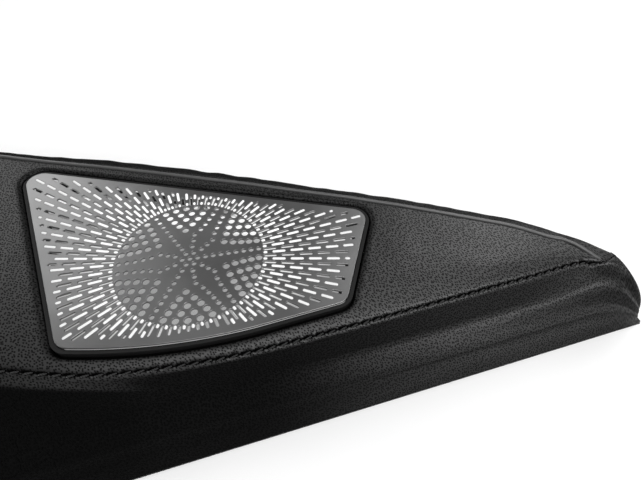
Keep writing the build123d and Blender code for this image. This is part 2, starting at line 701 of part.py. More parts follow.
def make_clips():
    """Spring-steel U clips pushed over the carrier's blades."""
    clips = []
    half = BLADE[1] / 2
    for x, y, turn in CLIPS:
        base = block((-3.2, 3.2), (-half - CLIP_SHEET - 0.05, half + CLIP_SHEET + 0.05),
                     (BLADE_BOTTOM - CLIP_SHEET - 0.05, BLADE_BOTTOM - 0.05))
        clip = base
        for side in (-1, 1):
            inner = side * (half + 0.05)
            outer = side * (half + 0.05 + CLIP_SHEET)
            clip += block((-3.2, 3.2), (min(inner, outer), max(inner, outer)), (BLADE_BOTTOM - 0.6, 14))
            barb = Polyline((outer - side * 0.1, 5.5), (outer + side * 1.6, 9.5), (outer + side * 1.1, 10.0),
                            (outer - side * 0.1, 7.0), close=True)
            clip += extrude(Plane.YZ.offset(-2.0) * make_face(barb), 4.0)
        clips.append(Pos(x, y, 0) * Rot(0, 0, turn) * clip)
    return Compound(clips)


def main():
    os.makedirs("parts", exist_ok=True)
    upper, lower, border = split_cover(make_cover())
    save(upper, "leather_upper")
    save(lower, "leather_lower")
    save(border, "leather_border")
    save(make_foam(), "foam_pad")
    save(make_carrier(), "trim_carrier")
    save(make_piping(), "piping_cord")
    save(make_stitches(), "seam_stitches")
    save(make_grille(), "grille_plate")
    save(make_tape(), "grille_tape")
    save(make_light_guide(), "light_guide")
    save(make_housing(), "speaker_housing")
    save(make_scrim(), "acoustic_scrim")
    save(make_led_board(), "led_strip_board")
    save(make_led_chips(), "led_chips")
    save(make_housing_screws(), "housing_screws")
    save(make_gasket(), "tweeter_gasket")
    save(make_faceplate(), "tweeter_faceplate")
    save(make_chassis(), "tweeter_chassis")
    save(make_dome(), "dome_diaphragm")
    save(make_surround(), "dome_surround")
    save(make_former(), "voice_coil_former")
    save(make_coil(), "voice_coil")
    save(tube(POLE_R, VENT_R, Z_POLE, Z_YOKE_TOP), "pole_plate")
    save(tube(MAGNET_R, VENT_R, Z_MAGNET, Z_POLE), "magnet")
    save(make_yoke(), "yoke_cup")
    save(tube(15.5, 0, Z_FELT, Z_YOKE), "damping_felt")
    save(make_rear_cap(), "rear_cap")
    save(make_terminal_board(), "terminal_board")
    save(make_terminal_tabs(), "terminal_tabs")
    save(make_tweeter_screws(), "tweeter_screws")
    save(make_socket(), "connector_socket")
    save(make_pins(), "connector_pins")
    save(make_capacitor(), "crossover_capacitor")
    save(make_capacitor_tie(), "capacitor_tie")
    save(make_input_lead(), "input_lead")
    save(make_positive_lead(), "positive_lead")
    save(make_negative_lead(), "negative_lead")
    save(make_led_leads(), "led_leads")
    save(make_clips(), "retaining_clips")


main()
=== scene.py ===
import json
import math

import bmesh
import bpy
import numpy as np
from mathutils import Matrix, Vector, noise


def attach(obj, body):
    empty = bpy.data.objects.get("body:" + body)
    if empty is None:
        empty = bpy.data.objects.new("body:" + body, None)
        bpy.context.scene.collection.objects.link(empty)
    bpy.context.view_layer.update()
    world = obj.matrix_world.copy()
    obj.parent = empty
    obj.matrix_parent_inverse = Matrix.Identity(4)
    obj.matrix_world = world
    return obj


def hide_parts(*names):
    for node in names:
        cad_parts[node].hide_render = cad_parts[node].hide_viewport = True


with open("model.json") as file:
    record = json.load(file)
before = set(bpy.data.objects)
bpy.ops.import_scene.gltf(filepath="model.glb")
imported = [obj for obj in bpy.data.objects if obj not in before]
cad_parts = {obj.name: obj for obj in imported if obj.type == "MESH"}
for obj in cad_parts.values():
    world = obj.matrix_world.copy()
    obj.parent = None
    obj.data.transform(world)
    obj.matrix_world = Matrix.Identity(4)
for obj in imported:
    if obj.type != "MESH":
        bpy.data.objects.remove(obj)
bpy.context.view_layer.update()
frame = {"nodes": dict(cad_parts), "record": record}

MM = 0.001

# ---- the pod's measures, in millimetres from the tweeter's axis and the rim -----------
ORIGIN = (39.0, 18.25)
X_LEFT, X_TIP = -88.0, 166.0
LIP = 1.2
LEATHER, FOAM = 1.2, 1.8
PLATE_TOP, PLATE_THICK = 34.0, 0.8
CORNER_R = 5.0
HOLE_OFFSET = 1.6
PLATE_CORNERS = ((-40.4, -21.7), (-58.7, 60.7), (66.2, 4.8), (46.2, -29.9))
BOW = ((16.0, -30.7), (-12.0, -28.5))
TOP_LEFT_CUT = ((-52.5, 57.9), (-57.2, 54.0))
SEAM_LINE = ((-88, -13, 31.0), (-56, -23, 31.5), (-33, -31, 31.5), (-10, -35, 31.5),
             (14, -37, 31.5), (68, -37, 31.5), (112, -36.5, 31.2), (134, -36, 30.6),
             (142, -38.3, 30.0), (150, -41.5, 27.3), (157, -47, 19.5), (166, -50.5, 6.0))
CREST_LINE = ((-88, 80.5, 34.0), (-52, 64.5, 34.2), (-7, 45, 34.2), (58, 14.5, 34.2), (97, -6, 34.0),
              (116, -16, 33.2), (127, -23.5, 32.3), (137, -29.5, 31.2), (145, -34, 30.0),
              (150, -37.5, 28.2), (157, -45, 20.3), (166, -49, 7.0))
EDGE_LINE = ((-88, 88, 30.0), (-60, 76, 30.0), (-14, 58, 30.0), (46, 29, 30.0), (95, 4, 30.0),
             (121, -11, 30.0), (134, -20.5, 29.6), (145, -29.5, 28.0), (150, -34, 25.8),
             (157, -41, 17.5), (166, -46, 5.5))
RIDGE_LINE = ((-88, -39.0, 17.0), (-25, -40.0, 17.0), (38, -41.5, 17.0), (100, -41.8, 17.5),
              (125, -42.2, 19.5), (142, -42.2, 22.3), (150, -45.0, 20.0), (157, -48.6, 14.0),
              (166, -51.4, 4.4))
VALLEY_LINE = ((-88, -48.0, 12.5), (38, -48.5, 12.5), (125, -48.8, 12.7), (143, -49.3, 12.8),
               (152, -50.3, 11.0), (160, -51.6, 7.0), (166, -52.9, 2.6))
RIM_Y, BACK_DRAFT = -54.5, 3.0
END_ROUND = 2.0
PIPING_TAIL = ((127, -23.5), (132, -25.8), (135, -29), (137.5, -32.8), (141.5, -37.8))
SEAM_TAIL = ((134, -36), (138, -37.3), (142.5, -38), (147, -36.5), (151, -31), (153, -18))
SEAM_START = X_LEFT + 4
STITCH_PITCH, STITCH_MID, STITCH_HALF, STITCH_SLANT = 3.8, 1.3, 1.0, 16
THREAD_R, THREAD_STRETCH = 0.26, 0.95
PIPING_R = 0.75
SEAM_GAP = 0.12
SCRIM_INSET, SCRIM_Z = 3.6, 26.8

# the perforation
TURN, RAYS, RAY_PHASE = -4.86, 120, 1.5
SLOT_W, SLOT_LONG, SLOT_PERIOD, SLOT_START, SLOT_MARGIN, SLOT_SHORT = 0.9, 4.5, 6.2, 24.8, 2.2, 1.3
DOT_PITCH, DOT_RINGS, SMALL_DOT, LARGE_DOT = 2.59, 10, 0.8, 1.15


# ---- camera and light --------------------------------------------------------------------
def make_camera():
    """The camera, a hand's width in front of and above the pod, turned towards the grille."""
    right = Vector((0.9578, -0.2860, 0.0278))
    up = Vector((0.2088, 0.7592, 0.6164))
    back = Vector((-0.1974, -0.5846, 0.7869))
    data = bpy.data.cameras.new("camera")
    data.sensor_width, data.lens, data.clip_start = 36.0, 23.22, 0.01
    camera = bpy.data.objects.new("camera", data)
    bpy.context.scene.collection.objects.link(camera)
    turn = Matrix((right, up, back)).transposed().to_4x4()
    camera.matrix_world = Matrix.Translation((-0.02281, -0.10815, 0.14941)) @ turn
    bpy.context.scene.camera = camera


def softbox(name, place, size, power):
    """A rectangular lamp turned towards the pod."""
    data = bpy.data.lights.new(name, "AREA")
    data.shape, data.size, data.size_y = "RECTANGLE", size[0], size[1]
    data.energy = power
    lamp = bpy.data.objects.new(name, data)
    bpy.context.scene.collection.objects.link(lamp)
    lamp.location = place
    lamp.rotation_euler = (Vector(place) - Vector((0, 0, 0.02))).to_track_quat("Z", "Y").to_euler()


def make_studio():
    """Soft lamps behind at both sides, in front and overhead, in a dim room."""
    scene = bpy.context.scene
    scene.view_settings.view_transform = "Standard"
    world = bpy.data.worlds.new("room")
    world.use_nodes = True
    sky = world.node_tree.nodes["Background"].inputs
    sky["Color"].default_value, sky["Strength"].default_value = (1, 1, 1, 1), 0.14
    scene.world = world
    softbox("softbox_left", (-0.95, 1.2, 0.95), (1.0, 0.8), 7)
    softbox("softbox_right", (1.25, 0.85, 1.35), (0.9, 0.7), 13)
    softbox("softbox_front", (0.75, -1.45, 1.1), (1.2, 0.7), 20)
    softbox("softbox_top", (0.1, -0.6, 2.2), (2.0, 1.2), 30)


# ---- shader sums -------------------------------------------------------------------------
class Wire:
    """One socket of a finish; sums on it add the Math nodes they need."""

    def __init__(self, finish, socket):
        self.finish, self.socket = finish, socket

    def sum(self, operation, *terms):
        return self.finish.node("ShaderNodeMath", {"operation": operation}, dict(enumerate(terms)))

    def __add__(self, other):
        return self.sum("ADD", self, other)

    def __radd__(self, other):
        return self.sum("ADD", other, self)

    def __sub__(self, other):
        return self.sum("SUBTRACT", self, other)

    def __rsub__(self, other):
        return self.sum("SUBTRACT", other, self)

    def __mul__(self, other):
        return self.sum("MULTIPLY", self, other)

    def __rmul__(self, other):
        return self.sum("MULTIPLY", other, self)

    def __pow__(self, other):
        return self.sum("POWER", self, other)

    def __gt__(self, other):
        return self.sum("GREATER_THAN", self, other)

    def low(self, other):
        return self.sum("MINIMUM", self, other)

    def high(self, other):
        return self.sum("MAXIMUM", self, other)

    def size(self):
        return self.sum("ABSOLUTE", self)

    def sine(self):
        return self.sum("SINE", self)

    def ramp(self, start, end):
        """0 below start, 1 above end, smooth between them; start may be the larger."""
        settings = {"interpolation_type": "SMOOTHSTEP"}
        low, high, a, b = (start, end, 0.0, 1.0) if start < end else (end, start, 1.0, 0.0)
        ends = {"Value": self, "From Min": low, "From Max": high, "To Min": a, "To Max": b}
        return self.finish.node("ShaderNodeMapRange", settings, ends)


class Finish:
    """A material: its shader's constants are named here, and its varying inputs come from nodes."""

    def __init__(self, name, **constants):
        self.material = bpy.data.materials.new(name)
        self.material.use_nodes = True
        self.tree = self.material.node_tree
        self.shader = self.tree.nodes["Principled BSDF"]
        for key, value in constants.items():
            self.shader.inputs[key.replace("_", " ")].default_value = value

    def node(self, kind, settings=None, inputs=None, out=0):
        """Adds any node: its settings first, then values or links for its sockets."""
        made = self.tree.nodes.new(kind)
        for key, value in (settings or {}).items():
            setattr(made, key, value)
        for key, value in (inputs or {}).items():
            if isinstance(value, Wire):
                self.tree.links.new(value.socket, made.inputs[key])
            else:
                made.inputs[key].default_value = value
        return Wire(self, made.outputs[out])

    def place(self):
        """The point on the piece, in metres in the pod's frame."""
        return self.node("ShaderNodeTexCoord", out="Object")

    def axes(self, vector):
        return [self.node("ShaderNodeSeparateXYZ", {}, {0: vector}, i) for i in range(3)]

    def cloud(self, vector, scale, detail=2.0, rough=0.5):
        """Soft noise, about 0.5 in the mean; scale in cells to the metre."""
        sockets = {"Vector": vector, "Scale": scale, "Detail": detail, "Roughness": rough}
        return self.node("ShaderNodeTexNoise", {}, sockets, "Fac")

    def cells(self, vector, scale, feature="F1"):
        """Distance from the middle, or from the edge, of each cell; scale in cells to the metre."""
        sockets = {"Vector": vector, "Scale": scale}
        return self.node("ShaderNodeTexVoronoi", {"feature": feature}, sockets, "Distance")

    def blend(self, share, first, second):
        """From the first colour at a share of 0 to the second at 1."""
        return self.node("ShaderNodeMix", {"data_type": "RGBA"}, {0: share, 6: first, 7: second}, 2)

    def stretch(self, vector, scale, turn=(0, 0, 0)):
        return self.node("ShaderNodeMapping", {}, {"Vector": vector, "Scale": scale, "Rotation": turn})

    def set(self, key, value):
        self.tree.links.new(value.socket, self.shader.inputs[key])

    def bump(self, height, depth, strength=1.0):
        """Relief from a height of 0 to 1, depth in metres."""
        sockets = {"Height": height, "Distance": depth, "Strength": strength}
        self.set("Normal", self.node("ShaderNodeBump", {}, sockets))


def grey(value):
    return (value, value, value, 1)


# ---- finishes ------------------------------------------------------------------------------
def leather_finish():
    """Black grained leather: glossy pebbles, dull pores, fine creases; painted shade below the seam, on faces
    turned away from the lamps, towards the left end and in the folds.
    """
    f = Finish("cover_leather", Specular_IOR_Level=0.01, Coat_Roughness=0.42, Coat_IOR=1.5)
    p = f.place()
    x, y, z = f.axes(p)
    facing_along, facing_back, facing_up = f.axes(f.node("ShaderNodeNewGeometry", out="Normal"))
    run = f.node("ShaderNodeAttribute", {"attribute_name": "section_run"}, out="Fac")
    # x stands still on the two end walls, so the height is added to it there
    flat = f.node("ShaderNodeCombineXYZ", {}, {0: x + z * (facing_along.size() > 0.7), 1: run * MM})
    pores = f.node("ShaderNodeTexVoronoi", {"voronoi_dimensions": "2D"},
                   {"Vector": flat, "Scale": 1150.0, "Randomness": 0.8}, "Distance").ramp(0.16, 0.44)
    pebble = f.cloud(p, 1500.0, 1.0)
    lines = f.cells(f.stretch(p, (0.7, 1.0, 1.0), (0, 0, 0.5)), 300.0, "DISTANCE_TO_EDGE").ramp(0.0, 0.09)
    wear = f.cloud(p, 24.0, 3.0)
    # painted shade: the base darkens and the coat thins towards the left end (far_left), and on the front
    # panel towards the lower left (low_left); far_left also deepens the creases' relief
    far_left = x.ramp(-0.055, -0.105)
    low_left = x.ramp(0.07, -0.03)
    # painted shade of the folds: dark in the seams, fainter beside the piping and near the grille's opening;
    # it blackens the base and takes the coat off
    fold = f.node("ShaderNodeAttribute", {"attribute_name": "painted_fold_shade"}, out="Fac")
    outside_painted_shade = 1 - fold.ramp(0.05, 0.6)
    # the seam runs straight at y = -55.3 mm and bends back towards the left end
    bend = (-0.025 - x).high(0.0)
    below_seam = (y + 0.0553 - bend * bend * 2.6).ramp(-0.0012, -0.0032)
    # painted shade: faces that turn down to the front or to the back, and the front panel below the seam, get
    # a darker base and less coat
    walls = facing_up.ramp(0.75, 0.33).high(facing_back.ramp(0.12, 0.4))
    painted_wall_shade = walls.high(below_seam * (low_left * 0.6 + 0.4))
    relief = pores * 0.8 + pebble * 0.5 + lines * (far_left * 0.9 + x.ramp(0.05, 0.10) * 0.6 + 0.15)
    f.bump(relief, 0.00025, 1.0)
    grain = f.blend(pores, grey(0.005), grey(0.025))
    shade = f.blend((far_left * 0.4 + painted_wall_shade * (0.55 + low_left * 0.4)).low(1.0), grain, grey(0.003))
    f.set("Base Color", f.blend(outside_painted_shade, grey(0.001), shade))
    f.set("Roughness", 0.5 + wear * 0.14 + (1 - pores) * 0.2)
    # the coat is real polish from rubbing, cut back in the painted shade of the walls and the left end
    rubbed = (pores * 0.74 + 0.13) * (wear * 0.5 + 0.75)
    polish_and_shade = rubbed * (1 - painted_wall_shade * (0.82 + low_left * 0.15)) * (1 - far_left * 0.15)
    f.set("Coat Weight", polish_and_shade * outside_painted_shade)
    return f.material


def piping_finish():
    """The same hide, stretched smooth round the cord; its base is painted lighter than the panels' as a
    highlight along the cord.
    """
    f = Finish("piping_leather", Specular_IOR_Level=0.5, Coat_Weight=0.5, Coat_Roughness=0.35)
    p = f.place()
    pores = f.cells(p, 1600.0).ramp(0.05, 0.45)
    f.bump(pores, 0.00008, 0.7)
    # painted highlight: a base several times lighter than the panels' hide
    f.set("Base Color", f.blend(f.cloud(p, 160.0), grey(0.045), grey(0.07)))
    f.set("Roughness", 0.36 + f.cloud(p, 90.0) * 0.14)
    return f.material


def thread_finish():
    """Twisted black thread."""
    f = Finish("seam_thread", Roughness=0.7, Specular_IOR_Level=0.3, Sheen_Weight=0.15)
    p = f.place()
    twist = f.node("ShaderNodeTexWave", {"bands_direction": "DIAGONAL"}, {"Vector": p, "Scale": 900.0}, "Fac")
    f.bump(twist, 0.00008, 0.8)
    f.set("Base Color", f.blend(twist, grey(0.004), grey(0.02)))
    return f.material


def steel_finish():
    """Satin steel, finely blasted."""
    f = Finish("grille_steel", Specular_IOR_Level=0.5)
    p = f.place()
    grain = f.cloud(p, 5200.0, 2.0)
    broad = f.cloud(p, 35.0, 2.0)
    f.bump(grain, 0.000012, 0.6)
    f.set("Base Color", f.blend(broad.ramp(0.3, 0.7), grey(0.21), grey(0.27)))
    f.set("Metallic", 0.97 + broad * 0.02)
    f.set("Roughness", 0.32 + grain * 0.06 + broad * 0.05)
    return f.material


def from_upper_edge(x, y):
    """How far in from the plate's upper edge a point lies, in metres, on sockets of x and y."""
    (ax, ay), (bx, by) = PLATE_CORNERS[1:3]
    slope = (ay - by) / (bx - ax)
    level = (ay - ORIGIN[1] + slope * (ax - ORIGIN[0])) * MM
    return (level - x * slope - y) * math.cos(math.atan(slope))


def opal_finish():
    """Frosted white guide, lit from the upper edge and brightest round the dots."""
    f = Finish("opal_acrylic", Roughness=0.4, Emission_Strength=0.6)
    p = f.place()
    x, y, _ = f.axes(p)
    haze = f.cloud(p, 400.0, 2.0)
    near_lamps = from_upper_edge(x, y).ramp(0.108, 0.003)
    from_axis = ((x + ORIGIN[0] * MM) ** 2.0 + (y + ORIGIN[1] * MM) ** 2.0) ** 0.5
    lit = near_lamps * 0.6 + from_axis.ramp(0.062, 0.028) * 0.4
    f.set("Base Color", f.blend(haze, grey(0.44), grey(0.52)))
    f.set("Emission Color", f.blend(lit, grey(0.0), grey(1.0)))
    f.bump(haze, 0.00003, 0.4)
    return f.material


def scrim_finish():
    """Fine grey cloth over the tray's floor; the light of the lamps along the upper wall is painted on as a
    glow of the cloth itself, faint elsewhere and fainter towards the left.
    """
    f = Finish("scrim_cloth", Roughness=0.85, Sheen_Weight=0.2, Emission_Strength=0.9)
    p = f.place()
    x, y, _ = f.axes(p)
    warp, weft, _ = f.axes(f.stretch(p, (1, 1, 1), (0, 0, 0.42)))
    weave = (warp * 9000.0).sine() * (weft * 9000.0).sine() * 0.5 + 0.5
    f.bump(weave, 0.00006, 0.6)
    # painted light: a bright glow in a band along the upper edge, where the lamps are
    painted_glow = from_upper_edge(x, y).ramp(0.0154, 0.0121)
    f.set("Base Color", f.blend(weave, grey(0.25), grey(0.42)))
    # painted light: a faint glow over the rest of the cloth, fainter towards the left end
    dim = f.blend(x.ramp(-0.045, -0.078), grey(0.28), grey(0.10))
    f.set("Emission Color", f.blend(painted_glow, dim, grey(0.9)))
    return f.material


def moulded(name, shade, rough, spec=0.4):
    """Moulded plastic with a fine eroded grain."""
    f = Finish(name, Specular_IOR_Level=spec)
    p = f.place()
    fine = f.cloud(p, 900.0, 3.0, 0.65)
    broad = f.cloud(p, 40.0, 2.0)
    f.bump(fine, 0.00004, 0.7)
    f.set("Base Color", f.blend(broad.ramp(0.3, 0.7), grey(shade * 0.8), grey(shade * 1.15)))
    f.set("Roughness", rough + fine * 0.1)
    return f.material


def metal(name, tint, rough, brushed=0.0):
    """Bare metal with fine drawn lines."""
    f = Finish(name, Metallic=1.0)
    p = f.place()
    lines = f.cloud(f.stretch(p, (1.0, 1.0, 12.0)), 1500.0, 2.0)
    broad = f.cloud(p, 120.0, 2.0)
    f.bump(lines, 0.00002, 0.3 + brushed)
    dull = tuple(c * 0.72 for c in tint)
    f.set("Base Color", f.blend(broad.ramp(0.3, 0.7), (*dull, 1), (*tint, 1)))
    f.set("Roughness", rough + lines * 0.15)
    return f.material


def cloth(name, shade, scale, depth=0.00008, rough=0.85):
    """Woven cloth, felt or open foam: matt, with a relief of fibres."""
    f = Finish(name, Sheen_Weight=0.25, Specular_IOR_Level=0.3)
    p = f.place()
    fibres = f.cloud(p, scale, 4.0, 0.7)
    f.bump(fibres, depth, 0.9)
    f.set("Base Color", f.blend(fibres.ramp(0.3, 0.7), grey(shade * 0.7), grey(shade * 1.2)))
    f.set("Roughness", rough + fibres * 0.1)
    return f.material


def coil_finish():
    """Copper wire wound round the axis, seen as fine rings."""
    f = Finish("copper_wire", Metallic=1.0)
    p = f.place()
    _, _, z = f.axes(p)
    turns = (z * 31400.0).sine()
    f.bump(turns * 0.5 + 0.5, 0.00006, 1.0)
    f.set("Base Color", f.blend(turns.ramp(-0.8, 0.3), (0.22, 0.07, 0.03, 1), (0.75, 0.33, 0.16, 1)))
    f.set("Roughness", 0.3 + f.cloud(p, 300.0) * 0.1)
    return f.material


def sleeve(name, tint):
    """Smooth coloured sleeve of a lead or a capacitor."""
    f = Finish(name, Specular_IOR_Level=0.5, Coat_Roughness=0.3)
    p = f.place()
    mottle = f.cloud(p, 500.0, 2.0)
    f.bump(mottle, 0.00003, 0.5)
    f.set("Base Color", f.blend(mottle, tuple(c * 0.7 for c in tint) + (1,), tuple(tint) + (1,)))
    f.set("Roughness", 0.4 + mottle * 0.12)
    return f.material


def floor_finish():
    """Pale matt paint."""
    f = Finish("floor_paint", Roughness=0.8, Specular_IOR_Level=0.2)
    f.set("Base Color", f.blend(f.cloud(f.place(), 30.0), grey(0.90), grey(0.93)))
    return f.material


def all_finishes():
    """Every material slot of the record and the finish it gets."""
    return {
        "cover_leather": leather_finish(),
        "piping_leather": piping_finish(),
        "seam_thread": thread_finish(),
        "cover_foam": cloth("cover_foam", 0.05, 1400.0, 0.0003),
        "carrier_plastic": moulded("carrier_plastic", 0.012, 0.5),
        "grille_steel": steel_finish(),
        "foam_tape": cloth("foam_tape", 0.012, 1800.0),
        "opal_acrylic": opal_finish(),
        "housing_plastic": moulded("housing_plastic", 0.006, 0.55, spec=0.25),
        "scrim_cloth": scrim_finish(),
        "circuit_board": moulded("circuit_board", 0.55, 0.4),
        "led_package": moulded("led_package", 0.8, 0.35),
        "screw_zinc": metal("screw_zinc", (0.55, 0.56, 0.58), 0.28),
        "gasket_foam": cloth("gasket_foam", 0.015, 1500.0),
        "tweeter_plastic": moulded("tweeter_plastic", 0.015, 0.4),
        "dome_silk": cloth("dome_silk", 0.02, 2200.0, 0.00004, 0.5),
        "surround_cloth": cloth("surround_cloth", 0.012, 1800.0, 0.00005, 0.6),
        "former_foil": metal("former_foil", (0.6, 0.6, 0.62), 0.25, 0.4),
        "copper_wire": coil_finish(),
        "motor_steel": metal("motor_steel", (0.5, 0.5, 0.52), 0.3, 0.3),
        "magnet_nickel": metal("magnet_nickel", (0.62, 0.6, 0.56), 0.2),
        "grey_felt": cloth("grey_felt", 0.16, 1200.0, 0.0003),
        "board_brown": moulded("board_brown", 0.09, 0.5),
        "tinned_brass": metal("tinned_brass", (0.62, 0.6, 0.52), 0.25),
        "socket_nylon": moulded("socket_nylon", 0.6, 0.42),
        "capacitor_film": sleeve("capacitor_film", (0.75, 0.42, 0.05)),
        "lead_red": sleeve("lead_red", (0.5, 0.02, 0.02)),
        "lead_black": sleeve("lead_black", (0.02, 0.02, 0.02)),
        "lead_white": sleeve("lead_white", (0.75, 0.75, 0.72)),
        "spring_steel": metal("spring_steel", (0.32, 0.33, 0.35), 0.3, 0.2),
    }


# ---- form of the panel ------------------------------------------------------------------
def along(line, x):
    """Smooth (y, z) at x on a line of (x, y, z) points, by cubic steps between them."""
    last = len(line) - 1
    i = 0
    while i < last - 1 and x > line[i + 1][0]:
        i += 1
    a, b = line[i], line[i + 1]
    before, after = line[max(i - 1, 0)], line[min(i + 2, last)]
    span = b[0] - a[0]
    t = (x - a[0]) / span
    result = []
    for k in (1, 2):
        slope_a = (b[k] - before[k]) / (b[0] - before[0])
        slope_b = (after[k] - a[k]) / (after[0] - a[0])
        result.append((2 * t ** 3 - 3 * t ** 2 + 1) * a[k] + (t ** 3 - 2 * t ** 2 + t) * span * slope_a
                      + (3 * t ** 2 - 2 * t ** 3) * b[k] + (t ** 3 - t ** 2) * span * slope_b)
    return result


def smooth(low, high, value):
    """0 at low, 1 at high, with a soft step between; low may be the larger."""
    t = min(1.0, max(0.0, (value - low) / (high - low)))
    return t * t * (3 - 2 * t)


def round_off(points, times=3):
    """Corner cutting: the polyline with its inner corners rounded, its ends kept."""
    for _ in range(times):
        a, b = points[:-1], points[1:]
        pair = np.empty((2 * len(a), 2))
        pair[0::2], pair[1::2] = 0.75 * a + 0.25 * b, 0.25 * a + 0.75 * b
        points = np.concatenate([points[:1], pair[1:-1], points[-1:]])
    return points


SAMPLES = 600
SCALE = np.linspace(0, 1, SAMPLES)


def section(x):
    """The cover's cross-section at x from the back rim over to the front rim, as equal steps of (y, z)."""
    seam, crest, edge = along(SEAM_LINE, x), along(CREST_LINE, x), along(EDGE_LINE, x)
    ridge, valley = along(RIDGE_LINE, x), along(VALLEY_LINE, x)
    share = 0.25 + 0.25 * min(1, max(0, (x - 100) / 34))
    inner = (seam[0] + share * (crest[0] - seam[0]), seam[1] + 0.8 * (crest[1] - seam[1]))
    full = min(1.0, seam[1] / 30.0)
    points = [
        (edge[0] + BACK_DRAFT, LIP), (edge[0] + BACK_DRAFT * 0.5, edge[1] * 0.5),
        (edge[0] + 0.3, edge[1] - 3 * full), edge,
        (0.45 * edge[0] + 0.55 * crest[0], 0.3 * edge[1] + 0.7 * crest[1]), crest,
        (0.6 * crest[0] + 0.4 * inner[0], 0.6 * crest[1] + 0.4 * inner[1]), inner,
        (0.35 * inner[0] + 0.65 * seam[0], 0.35 * inner[1] + 0.65 * seam[1] + 0.25 * full), seam,
        (seam[0] - 1.3 * full, seam[1] - 2.4 * full),
        (0.45 * seam[0] + 0.55 * ridge[0], 0.45 * seam[1] + 0.55 * ridge[1]),
        (ridge[0] + 0.4 * full, ridge[1] + 1.0 * full), (ridge[0] - 1.8 * full, ridge[1] - 0.6 * full),
        (valley[0] + 2.2 * full, valley[1] + 1.5 * full), (valley[0], valley[1] - 0.6 * full),
        (valley[0] - 0.9 * full, valley[1] - 3.0 * full),
        (0.5 * valley[0] + 0.5 * RIM_Y - 0.4 * full, 0.5 * valley[1]), (RIM_Y, LIP),
    ]
    points = round_off(np.array(points, float))
    steps = np.concatenate([[0], np.cumsum(np.hypot(*np.diff(points, axis=0).T))])
    at = np.linspace(0, steps[-1], SAMPLES)
    return np.stack([np.interp(at, steps, points[:, 0]), np.interp(at, steps, points[:, 1])], 1), steps[-1]


class Form:
    """The cover's outer surface, tabled every half millimetre along x."""

    def __init__(self):
        self.step = 0.5
        self.xs = np.arange(X_LEFT, X_TIP + self.step / 2, self.step)
        made = [section(x) for x in self.xs]
        self.curves = np.stack([m[0] for m in made])
        self.lengths = np.array([m[1] for m in made])

    def at(self, x):
        """The section curve at any x, and its length."""
        t = min(max((x - X_LEFT) / self.step, 0), len(self.xs) - 1.001)
        i = int(t)
        share = t - i
        curve = (1 - share) * self.curves[i] + share * self.curves[i + 1]
        return curve, (1 - share) * self.lengths[i] + share * self.lengths[i + 1]

    def height(self, x, y):
        """The top's height at (x, y)."""
        curve, _ = self.at(x)
        return float(np.interp(-y, -curve[:, 0], curve[:, 1]))

    def share_at(self, x, y):
        """How far along the section, from 0 at the back rim to 1 at the front rim, it reaches y."""
        curve, _ = self.at(x)
        return float(np.interp(-y, -curve[:, 0], SCALE))

    def point(self, x, share):
        """(y, z) at a share of the way along the section at x."""
        curve, _ = self.at(x)
        return float(np.interp(share, SCALE, curve[:, 0])), float(np.interp(share, SCALE, curve[:, 1]))


FORM = Form()


def seam_share(x):
    """Where the stitched seam crosses the section at x: it runs over the nose to the back rim."""
    if x <= SEAM_TAIL[0][0]:
        return FORM.share_at(x, along(SEAM_LINE, x)[0])
    xs, ys = zip(*SEAM_TAIL[:4])
    top = FORM.share_at(min(x, xs[-1]), float(np.interp(x, xs, ys)))
    return top * (1 - smooth(xs[-1], SEAM_TAIL[-1][0], x))


def piping_share(x):
    """Where the piping crosses the section at x: near the nose it bends down to the seam."""
    if x <= PIPING_TAIL[0][0]:
        return FORM.share_at(x, along(CREST_LINE, x)[0])
    if x >= PIPING_TAIL[-1][0]:
        return seam_share(x)
    xs, ys = zip(*PIPING_TAIL)
    share = FORM.share_at(x, float(np.interp(x, xs, ys)))
    return min(share, seam_share(x))


def wrinkle(x, y, z):
    """Small uneven lift of the cover: soft waves, stronger at the back edge, the nose and the left end."""
    p = Vector((x, y, z))
    broad = noise.noise(p * 0.045) * 0.25
    mid = noise.noise(p * 0.13 + Vector((7, 3, 1))) * 0.10
    fine = noise.noise(p * 0.4 + Vector((1, 9, 4))) * 0.03
    waves = noise.noise(Vector((x * 0.16, y * 0.05, 5))) * 0.45
    edge_y = along(EDGE_LINE, min(x, X_TIP))[0]
    back, nose = smooth(9, 1, edge_y - y) * 0.8, smooth(105, 150, x) * 0.3
    wide = smooth(-55, -80, x) * 1.2
    return broad + mid + fine + waves * max(back, nose) + mid * wide


def seam_fold(x):
    """Radius of the folded edges along the seam: they close up where each stitch dips under."""
    phase = (x - SEAM_START - STITCH_MID) / STITCH_PITCH - 0.5
    return 1.7 - 1.3 * max(0.0, math.cos(2 * math.pi * phase)) ** 8


def sewn(x):
    """1 where the seams are sewn through, fading over the nose, where the panels lie flush."""
    return 1 - 0.85 * smooth(138, 145, x)


def fold_down(distance, radius, deep):
    """How far a folded edge has dropped at a distance from the fold's foot."""
    if distance <= 0:
        return radius + deep
    if distance >= radius:
        return 0.0
    return radius - math.sqrt(radius ** 2 - (radius - distance) ** 2)


PIPING_FOLD = 0.2
FOLD_ROWS = (0.0, 0.001, 0.05, 0.16, 0.34, 0.58, 0.86, 1.2, 1.8)


def row_distances(length, count, start_fold, end_fold):
    """Distances along a panel's row of points: close together at its folds, even between them."""
    squeeze = min(1.0, length / 5.0)
    head = [d * squeeze for d in FOLD_ROWS] if start_fold else [0.0]
    tail = [length - d * squeeze for d in reversed(FOLD_ROWS)] if end_fold else [length]
    middle = list(np.linspace(head[-1], tail[0], count + 2)[1:-1])
    return head + middle + tail


X_INNER = X_LEFT + END_ROUND
COLUMN_PITCH = STITCH_PITCH / 6


